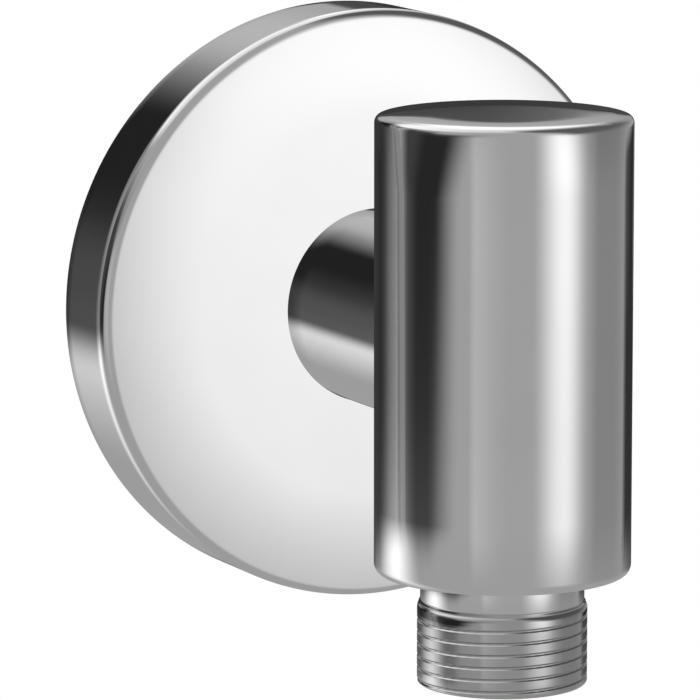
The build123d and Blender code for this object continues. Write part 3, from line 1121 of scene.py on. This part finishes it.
@dataclass
class HoseNipple:
    """Hose nipple: smooth collar, hose thread, key hexagon and the seat of the valve.

    Sizes are in millimetres and leans in degrees. The polish leans the shading of the collar by its height.
    The thread starts with two fine lines and a rounding, whose rows give radius, height and lean, and its
    lands lean by their height. The plating is duller on the lands. Painted shade darkens the groove further,
    most on its side that faces down and a little on its floor.
    """

    # Inner thread and collar
    top: float = -13.9
    lead_in: float = 0.6
    inner_thread: float = 8.95
    collar: float = 10.1
    collar_top: float = -24.7
    collar_edge: float = 0.15
    collar_hold: float = 0.5
    collar_polish: tuple[Spot, ...] = ((-27.0, 7.5), (-31.27, -7.5))
    # Hose thread
    thread_start: tuple[Point, ...] = (
        (10.055, -31.34, -30.0), (10.055, -31.40, -25.0), (10.12, -31.46, 18.0), (10.28, -31.64, 21.0),
        (10.25, -31.70, -25.0), (10.25, -31.74, -20.0), (10.31, -31.80, 50.0), (10.37, -31.92, 52.0),
        (10.42, -32.05, 37.0), (10.45, -32.17, 27.0), (10.465, -32.29, 17.0), (10.4725, -32.41, 9.0),
    )
    land_leans: tuple[Spot, ...] = ((-41.35, -9.0), (-41.0, -7.5), (-40.6, -4.0), (-40.1, -1.8),
                                    (-34.2, -1.6), (-33.7, -0.5), (-33.1, 0.5), (-32.85, 4.0),
                                    (-32.53, 5.0))
    land_dull: float = 0.5
    # Painted shade on the groove's floor, as a share of the painted shade on its side that faces down
    floor_shade: float = 0.2
    groove_lean: float = 58.0
    thread_radius: float = PIPE_THREAD_RADIUS
    foot: float = HOSE_FOOT
    foot_rounding: Spot = (0.5, 0.5)
    foot_leans: tuple[float, ...] = (-9.0, -16.0, -28.0, -40.0, -55.0, -70.0, -85.0)
    thread_rows: int = 290
    turns: int = 192
    cut: ThreadCut = ThreadCut(pitch=1.5, depth=0.12, width=0.5, floor=0.25, start=-32.62, end=HOSE_FOOT,
                               run_out=0.45)
    # Key hexagon and seat of the valve
    outlet: float = 5.5
    outlet_rim: float = 1.2
    key_top: float = -35.85
    ledge: float = -32.621
    valve_bore: float = 7.1

    def outside(self) -> Array:
        """Half-profile of the outside, from the top over collar and thread to the foot.

        Returns:
            Rows of radius, height and lean.
        """
        above = rounded_profile(
            [
                Corner(self.valve_bore + self.lead_in, self.top),
                Corner(self.inner_thread - self.lead_in, self.top),
                Corner(self.inner_thread, self.top - self.lead_in),
                Corner(self.inner_thread, self.collar_top),
                Corner(self.collar, self.collar_top, self.collar_edge),
                Corner(self.collar, self.collar_polish[0][0] + self.collar_hold),
            ],
        )
        collar = np.array([(self.collar, height, lean) for height, lean in self.collar_polish])
        rim, rise = self.foot_rounding
        heights = np.linspace(self.land_leans[-1][0], self.land_leans[0][0], self.thread_rows)
        lands = np.column_stack([np.full_like(heights, self.thread_radius), heights,
                                 np.interp(heights, *np.transpose(self.land_leans))])
        rounding = polished_rounding((self.thread_radius, self.foot + rise),
                                     (self.thread_radius - rim, self.foot), self.foot_leans, flat_first=False)
        under = np.array([(self.outlet + self.outlet_rim, self.foot, AGAINST_AXIS)])
        return np.vstack([as_shaped(above), collar, self.thread_start, lands, rounding[1:], under])

    def build(self, shop: PaintShop) -> bpy.types.Object:
        """Turns the nipple with its thread and sets it in place of its solid.

        The radius is the profile's, less the depth of the thread's groove below its start, and between the
        foot and the top of the key it is the reach of a hexagon. The lean is the profile's and, in the
        groove, that of the side that the tilt gives.

        Args:
            shop: Where the piece gets its finish.

        Returns:
            The piece.
        """
        outside = self.outside()
        key = np.array([(self.outlet, self.foot), (self.outlet, self.key_top)])
        inside = np.array([(self.outlet, self.key_top), (self.outlet, self.ledge),
                           (self.valve_bore, self.ledge), (self.valve_bore, self.top - self.lead_in),
                           (self.valve_bore + self.lead_in, self.top)])
        profile = np.vstack([outside, as_shaped(key), as_shaped(inside)])
        height = profile[:, 1:2]
        threaded = height < self.collar_polish[-1][0]
        threaded[len(outside):] = False
        angles = turn_angles(self.turns)
        sunk = self.cut.sunk(angles, height) * threaded
        tilt = self.cut.tilt(angles, height) * threaded
        radius = profile[:, :1] - sunk
        radius[len(outside):len(outside) + len(key)] = hexagon_reach(angles, self.outlet)
        lean = profile[:, 2:] + self.groove_lean * tilt
        # Painted shade: the groove's side that faces down, and a little its floor, are darkened on top of the
        # duller lands
        shade = np.maximum(self.floor_shade * sunk / self.cut.depth, -tilt)
        dulled_and_shaded = np.where(threaded, self.land_dull + (1.0 - self.land_dull) * shade, 0.0)
        grid = Patch(BODY_SPINDLE.place(radius, angles, height), facing=BODY_SPINDLE.facing(angles, lean),
                     dull_and_shade=dulled_and_shaded)
        return shop.install(woven_mesh("hose_nipple_threaded", [grid]), Slot.CHROME, "hose_nipple")


@dataclass
class WallNipple:
    """Brass nipple in the wall: thread, shoulder, spigot with two ring grooves, key hexagon. Millimetres."""

    # Thread in the wall
    thread_radius: float = PIPE_THREAD_RADIUS
    thread_end: float = 13.5
    thread_chamfer: float = 1.2
    thread_rows: int = 120
    turns: int = 160
    cut: ThreadCut = ThreadCut(pitch=1.814, depth=1.1, width=1.7, floor=0.08, start=13.2, end=2.6,
                               run_out=0.9)
    relief_radius: float = 9.1775
    relief_end: float = 1.6
    relief_depth: float = 1.3
    # Shoulder and spigot
    shoulder_radius: float = 13.2
    shoulder_back: float = -0.3
    shoulder_front: float = -SHOULDER_STATION
    shoulder_edge: float = 0.2
    spigot_radius: float = 9.05
    spigot_front: float = -30.2
    spigot_lead: float = 0.8
    lock_station: float = -LOCK_STATION
    lock_depth: float = 1.4
    ring_stations: tuple[float, float] = (-22.4, -26.8)
    ring_width: float = 1.8
    ring_floor: float = 7.3
    # Inlet and key hexagon
    inlet: float = 5.1
    key_back: float = -21.2

    def outside(self) -> Array:
        """Half-profile of the outside, from the inlet over thread, shoulder and spigot to the front.

        Returns:
            Rows of radius and height.
        """
        start = [Corner(self.inlet, self.thread_end),
                 Corner(self.thread_radius - self.thread_chamfer, self.thread_end),
                 Corner(self.thread_radius, self.thread_end - self.thread_chamfer)]
        thread_start = self.relief_end + self.relief_depth
        heights = np.linspace(self.thread_end - self.thread_chamfer, thread_start, self.thread_rows)[1:-1]
        threaded = np.column_stack([np.full_like(heights, self.thread_radius), heights])
        corners = [Corner(self.thread_radius, thread_start), Corner(self.relief_radius, self.relief_end),
                   Corner(self.relief_radius, self.shoulder_back),
                   Corner(self.shoulder_radius, self.shoulder_back, self.shoulder_edge),
                   Corner(self.shoulder_radius, self.shoulder_front, self.shoulder_edge),
                   Corner(self.spigot_radius, self.shoulder_front),
                   Corner(self.spigot_radius, self.lock_station + self.lock_depth),
                   Corner(self.spigot_radius - self.lock_depth, self.lock_station),
                   Corner(self.spigot_radius, self.lock_station - self.lock_depth)]
        for station in self.ring_stations:
            back, front = station + 0.5 * self.ring_width, station - 0.5 * self.ring_width
            corners += [Corner(self.spigot_radius, back), Corner(self.ring_floor, back),
                        Corner(self.ring_floor, front), Corner(self.spigot_radius, front)]
        corners += [Corner(self.spigot_radius, self.spigot_front + self.spigot_lead),
                    Corner(self.spigot_radius - self.spigot_lead, self.spigot_front)]
        return np.vstack([rounded_profile(start), threaded, rounded_profile(corners)])

    def build(self, shop: PaintShop) -> bpy.types.Object:
        """Turns the nipple with its thread and sets it in place of its solid.

        The radius is the profile's, less the depth of the thread's groove in the threaded rows, and in front
        of the key's back it is the reach of a hexagon.

        Args:
            shop: Where the piece gets its finish.

        Returns:
            The piece.
        """
        outside = self.outside()
        key = np.array([(self.inlet, self.spigot_front), (self.inlet, self.key_back)])
        inside = np.array([(self.inlet, self.key_back), (self.inlet, self.thread_end)])
        profile = np.vstack([outside, key, inside])
        height = profile[:, 1:]
        threaded = (profile[:, :1] > self.relief_radius) & (height > self.relief_end)
        angles = turn_angles(self.turns)
        radius = profile[:, :1] - self.cut.sunk(angles, height) * threaded
        radius[len(outside):len(outside) + len(key)] = hexagon_reach(angles, self.inlet)
        grid = Patch(NECK_SPINDLE.place(radius, angles, height))
        return shop.install(woven_mesh("wall_nipple_threaded", [grid]), Slot.BRASS, "wall_nipple")


@dataclass
class ClosingSpring:
    """Closing spring of the non-return valve, built at one length; it shortens as the closer opens.
    Millimetres.
    """

    foot: float = -30.621
    length: float = 8.8
    coil_radius: float = 3.2
    wire_radius: float = 0.25
    end_gap: float = 0.03
    coils: float = 5.0
    end_flatness: float = 0.35
    travel: float = 3.0
    steps: int = 260
    sides: int = 14

    def build(self, shop: PaintShop) -> bpy.types.Object:
        """Winds the spring and sets it in place of its solid.

        The wire's middle is at coil radius and angle a, and rises by a smooth step blended with a straight
        line, so that the end coils lie flatter. A circle is carried along it, square to the path, and shrinks
        to a point at both ends.

        Args:
            shop: Where the piece gets its finish.

        Returns:
            The piece.
        """
        share = np.linspace(0.0, 1.0, self.steps)
        angle = FULL_TURN * self.coils * share
        rise = self.length - 2 * (self.wire_radius + self.end_gap)
        climb = (1.0 - self.end_flatness) * share + self.end_flatness * eased(share)
        height = self.foot + self.wire_radius + self.end_gap + rise * climb
        path = BODY_SPINDLE.place(np.full_like(share, self.coil_radius), angle, height)
        ahead = np.gradient(path, axis=0)
        ahead /= np.linalg.norm(ahead, axis=1, keepdims=True)
        out = BODY_SPINDLE.outward(angle)
        rise_side = np.cross(ahead, out)
        around = turn_angles(self.sides)[0]
        ring = (np.cos(around)[None, :, None] * out[:, None, :]
                - np.sin(around)[None, :, None] * rise_side[:, None, :])
        wire = path[:, None, :] + MM * self.wire_radius * ring
        first, last = (np.repeat(end[:, None, :], len(around), 1) for end in (path[:1], path[-1:]))
        spring = woven_mesh("closing_spring", [Patch(np.concatenate([first, wire, last]))])
        shop.install(spring, Slot.STEEL, "valve_spring")
        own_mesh(spring)
        return spring


# Studio


@dataclass(frozen=True)
class WallPanel:
    """Soft-edged panel bent round the object, which only mirrors see.

    Attributes:
        name: What it does.
        bearings: Bearings of its left and right edge from the front, in degrees, growing to the right.
        heights: Heights of its lower and upper edge over the horizon, in degrees.
        soft: Widths of the soft edge at left, right, bottom and top, in the units of the edges.
        level: Brightness, with 1 as white.
        slant: Degrees by which it moves to the right for each degree up.
    """

    name: str
    bearings: Spot
    heights: Spot
    soft: Edges
    level: float
    slant: float = 0.0

    def towards(self, across: Array, upward: Array) -> Array:
        """Directions at bearing a, moved by slant x e, and height e: (sin a cos e, -cos a cos e, sin e).

        Args:
            across: Bearings, in degrees.
            upward: Heights, in degrees.

        Returns:
            Unit directions, with one more dimension than the arguments broadcast together.
        """
        bearing, rise = np.broadcast_arrays(np.radians(across + self.slant * upward), np.radians(upward))
        level = np.cos(rise)
        return np.stack([np.sin(bearing) * level, -np.cos(bearing) * level, np.sin(rise)], axis=-1)


@dataclass(frozen=True)
class CeilingPanel(WallPanel):
    """Soft-edged panel overhead. Its bearings and heights are paces to the right and back per pace up."""

    def towards(self, across: Array, upward: Array) -> Array:
        """Directions to a level ceiling: (x, y, 1), brought to length 1.

        Args:
            across: Paces to the right for each pace up.
            upward: Paces back for each pace up.

        Returns:
            Unit directions, with one more dimension than the arguments broadcast together.
        """
        right, back = np.broadcast_arrays(across, upward)
        reach = np.stack([right, back, np.ones_like(right)], axis=-1)
        return reach / np.linalg.norm(reach, axis=-1, keepdims=True)


# Panels from the farthest to the nearest: each covers the ones before it where they meet
PANELS = (
    WallPanel("right_dark", (104, 141.5), (-21, -2), (8, 8, 11, 3), 0.025),
    WallPanel("back_dark", (136, 230), (-18, 9), (6, 40, 6, 14), 0.04),
    WallPanel("back_dusk", (149, 199), (-4, 10.5), (4, 19, 2, 2.5), 0.064),
    WallPanel("back_left_dark", (171, 223.5), (-30, 35), (20, 6, 41, 9.7), 0.016),
    WallPanel("left_dark", (-136, -85), (-32.5, 41), (16, 14.5, 29, 24), 0.049),
    WallPanel("streak_side", (-147, -130.9), (-19, 40.5), (7.5, 1.3, 4, 8), 0.246, -0.63),
    WallPanel("left_streak", (-160.5, -138.5), (-19, 40.5), (33, 3.2, 4, 8), 0.273),
    WallPanel("streak_gap", (-142.5, -137.5), (-19, 40.5), (2, 2, 4, 8), 0.185, -0.63),
    WallPanel("left_slope", (-118.5, -56.5), (-20, 35), (18, 28.5, 13, 31.5), 0.02, 0.89),
    WallPanel("back_grey", (129.5, 180), (5, 38.5), (4, 17, 31, 4.6), 0.59),
    WallPanel("back_bright", (140, 164), (18.7, 42.3), (7.6, 7.8, 5.7, 7.9), 1.245),
    CeilingPanel("ceiling", (-1.11, 1.42), (-0.54, 1.71), (0.44, 0.25, 1.61, 0.51), 1.02),
    WallPanel("ground", (-180, 180), (-90, -9.5), (0.2, 0.2, 0.2, 15.5), 0.355),
    WallPanel("front_light", (-59, -20), (-29.5, 17.5), (8, 44, 17, 18), 0.5),
    WallPanel("key", (-3.5, 54), (-39, 51), (32, 25, 49, 57), 1.28),
    WallPanel("right_wall", (49, 127.5), (-44, 60), (18, 42, 46.5, 30), 0.214),
    WallPanel("right_upper", (15, 158.5), (-9, 90), (32, 43, 38, 20), 0.1),
    WallPanel("bright_ground", (-178.5, -107), (-73, -10), (42, 36, 70, 7.5), 1.3),
    WallPanel("right_edge", (112, 150), (-20, -8.2), (2.5, 12, 12, 1.4), 0.03),
    WallPanel("back_low", (138, 200), (-6, 3), (8, 15, 2, 3), 0.036),
)


@dataclass
class Studio:
    """Plain white studio with a floor, and the grey tent and soft panels that the metal mirrors. Metres."""

    tent_level: float = 0.368
    tent_radius: float = 8.0
    tent_rows: int = 25
    tent_turns: int = 48
    panel_distance: float = 6.0
    panel_step: float = 0.05
    panel_rows: int = 30
    floor_height: float = -0.12
    floor_radius: float = 0.3
    floor_turns: int = 96
    floor_tone: float = 0.9
    floor_roughness: float = 0.9
    middle: Point = (0.0, -0.03, 0.0)

    def surroundings(self) -> None:
        """White world that lights the matt surfaces evenly and stands behind the object."""
        world = bpy.data.worlds.new("white_surroundings")
        world.use_nodes = True
        background = world.node_tree.nodes["Background"]
        background.inputs["Color"].default_value = (1.0, 1.0, 1.0, 1.0)
        background.inputs["Strength"].default_value = 1.0
        world.cycles_visibility.glossy = False
        bpy.context.scene.world = world

    def only_mirrored(self, panel: bpy.types.Object) -> None:
        """Lets only mirrors see a panel, and takes it out of the object.

        Args:
            panel: The panel, or the tent.
        """
        panel.visible_camera = False
        panel.visible_diffuse = False
        panel.visible_transmission = False
        panel.visible_shadow = False

    def glow(self, name: str, level: float, soft: Edges | None = None) -> bpy.types.Material:
        """Material of a panel.

        Args:
            name: Name of the material.
            level: Its brightness.
            soft: Shares of the panel that its left, right, bottom and top soft edge take, or None for none.

        Returns:
            An even glow, clear towards its soft edges.
        """
        material = bpy.data.materials.new(name)
        material.use_nodes = True
        tree = material.node_tree
        tree.nodes.remove(tree.nodes["Principled BSDF"])
        light = tree.nodes.new("ShaderNodeEmission")
        light.inputs["Strength"].default_value = level
        if soft is None:
            feed(tree, tree.nodes["Material Output"].inputs["Surface"], light.outputs["Emission"])
            return material
        clear = tree.nodes.new("ShaderNodeBsdfTransparent")
        place = tree.nodes.new("ShaderNodeTexCoord")
        edge = tree.nodes.new("ShaderNodeGroup")
        edge.node_tree = shared_group("soft_edge", soft_edge_group)
        feed(tree, edge.inputs["UV"], place.outputs["UV"])
        for label, width in zip(EDGE_LABELS, soft):
            feed(tree, edge.inputs[label], width)
        show_blend(tree, edge.outputs["Mask"], clear.outputs["BSDF"], light.outputs["Emission"])
        return material

    def hang(self, panel: WallPanel, order: int) -> None:
        """Hangs a panel round the object.

        Row i, column j is middle + distance x direction, with the direction at even steps between the
        panel's edges. A later panel hangs a little nearer and covers the ones before.

        Args:
            panel: The panel.
            order: Its place in the row of panels.
        """
        share = np.linspace(0.0, 1.0, self.panel_rows)
        left, right = panel.bearings
        low, high = panel.heights
        directions = panel.towards(left + (right - left) * share[None, :],
                                   low + (high - low) * share[:, None])
        points = np.array(self.middle) + (self.panel_distance - self.panel_step * order) * directions
        cells = grid_cells(share.size, share.size).reshape(-1, 4)
        mesh = bpy.data.meshes.new("panel_" + panel.name)
        mesh.from_pydata(points.reshape(-1, 3), [], cells.tolist())
        places = np.stack(np.meshgrid(share, share), axis=-1).reshape(-1, 2)
        layer = mesh.uv_layers.new(name="UVMap")
        layer.data.foreach_set("uv", places[cells].ravel())
        spans = (right - left, right - left, high - low, high - low)
        soft = tuple(width / span for width, span in zip(panel.soft, spans))
        mesh.materials.append(self.glow("panel_" + panel.name, panel.level, soft))
        self.only_mirrored(linked_object("panel_" + panel.name, mesh))

    def tent(self) -> None:
        """Grey tent all around, turned as a half circle: radius and height are its sine and cosine."""
        bend = np.linspace(0.0, pi, self.tent_rows)[:, None]
        profile = self.tent_radius / MM * np.hstack([np.sin(bend), np.cos(bend)])
        profile[[0, -1], 0] = 0.0
        tent = woven_mesh("grey_tent", [lathe(NECK_SPINDLE, profile, self.tent_turns)])
        tent.data.materials.append(self.glow("grey_tent", self.tent_level))
        self.only_mirrored(tent)

    def floor(self) -> None:
        """Round pale floor under the object, too small for the main view to reach, and clear from below."""
        origin = (0.0, self.middle[1] / MM, self.floor_height / MM)
        spindle = Spindle(origin, BODY_SPINDLE.across, BODY_SPINDLE.along)
        profile = np.array([(0.0, 0.0), (self.floor_radius / MM, 0.0)])
        floor = woven_mesh("pale_floor", [lathe(spindle, profile, self.floor_turns)])
        material = bpy.data.materials.new("pale_floor")
        material.use_nodes = True
        tree = material.node_tree
        shader = tree.nodes["Principled BSDF"]
        shader.inputs["Base Color"].default_value = (*[self.floor_tone] * 3, 1.0)
        shader.inputs["Roughness"].default_value = self.floor_roughness
        shader.inputs["Specular IOR Level"].default_value = 0.0
        side = tree.nodes.new("ShaderNodeNewGeometry")
        clear = tree.nodes.new("ShaderNodeBsdfTransparent")
        show_blend(tree, side.outputs["Backfacing"], shader.outputs["BSDF"], clear.outputs["BSDF"])
        floor.data.materials.append(material)
        floor.visible_glossy = False

    def build(self) -> None:
        """Sets up the whole studio."""
        self.surroundings()
        self.tent()
        for order, panel in enumerate(PANELS):
            self.hang(panel, order)
        self.floor()


@dataclass
class MainCamera:
    """Camera of the main view. Angles in degrees, lengths in millimetres."""

    azimuth: float = -25.914
    elevation: float = 9.544
    distance: float = 736.573
    target: Point = (-7.494, -20.0, -4.062)
    focal_pixels: float = 5856.02
    picture_pixels: float = 700.0
    sensor: float = 36.0
    reach: float = 20000.0

    def build(self) -> bpy.types.Object:
        """Sets the camera on its bearing from the target and looks back at it.

        Returns:
            The camera.
        """
        data = bpy.data.cameras.new("main_camera")
        data.sensor_fit = "HORIZONTAL"
        data.sensor_width = self.sensor
        data.lens = self.focal_pixels / self.picture_pixels * self.sensor
        data.clip_end = MM * self.reach
        camera = linked_object("main_camera", data)
        bearing, rise = radians(self.azimuth), radians(self.elevation)
        back = np.array([sin(bearing) * cos(rise), -cos(bearing) * cos(rise), sin(rise)])
        camera.location = MM * (np.array(self.target) + self.distance * back)
        camera.rotation_euler = (pi / 2 - rise, 0.0, bearing)
        bpy.context.scene.camera = camera
        return camera


def main() -> None:
    """Builds the pieces, the studio and the camera."""
    logging.basicConfig(level=logging.INFO, format="%(name)s: %(message)s")
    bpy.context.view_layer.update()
    bpy.context.scene.view_settings.view_transform = "Standard"
    shop = PaintShop()
    shop.paint_nodes()
    for maker in (WallFlange(), ElbowBody(), HoseNipple(), WallNipple(), ClosingSpring()):
        piece = maker.build(shop)
        log.info("piece %s: %d faces", piece.name, len(piece.data.polygons))
    Studio().build()
    MainCamera().build()


if __name__ == "__main__":
    main()
